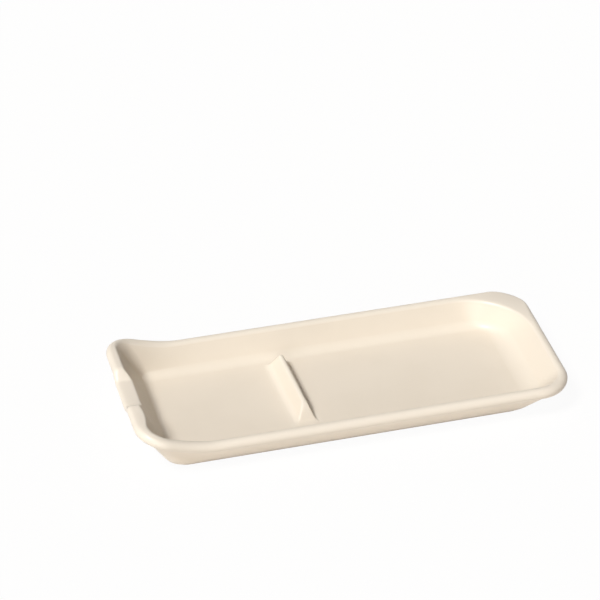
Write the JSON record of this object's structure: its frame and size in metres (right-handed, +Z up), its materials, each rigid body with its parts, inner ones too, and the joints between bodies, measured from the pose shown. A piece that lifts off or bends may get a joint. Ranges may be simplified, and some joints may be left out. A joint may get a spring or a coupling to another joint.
{
  "type": "spoon rest",
  "caption": "Long glazed stoneware spoon rest: shallow tray with a rolled rim, a raised and notched handle end, a cross rib on its floor and a sloped bowl end.",
  "frame": {"origin": "middle of the tray's length and width, on the table plane under the foot", "axes": "+X towards the bowl end, along the tray's length; +Y towards the back side wall; +Z up"},
  "size_m": [0.2246, 0.0934, 0.0272],
  "materials": {
    "stoneware": "bare fired clay",
    "ivory_glaze": "glossy"
  },
  "bodies": {
    "root": {"stoneware_body": "stoneware", "glaze_coat": "ivory_glaze"}
  },
  "joints": []
}
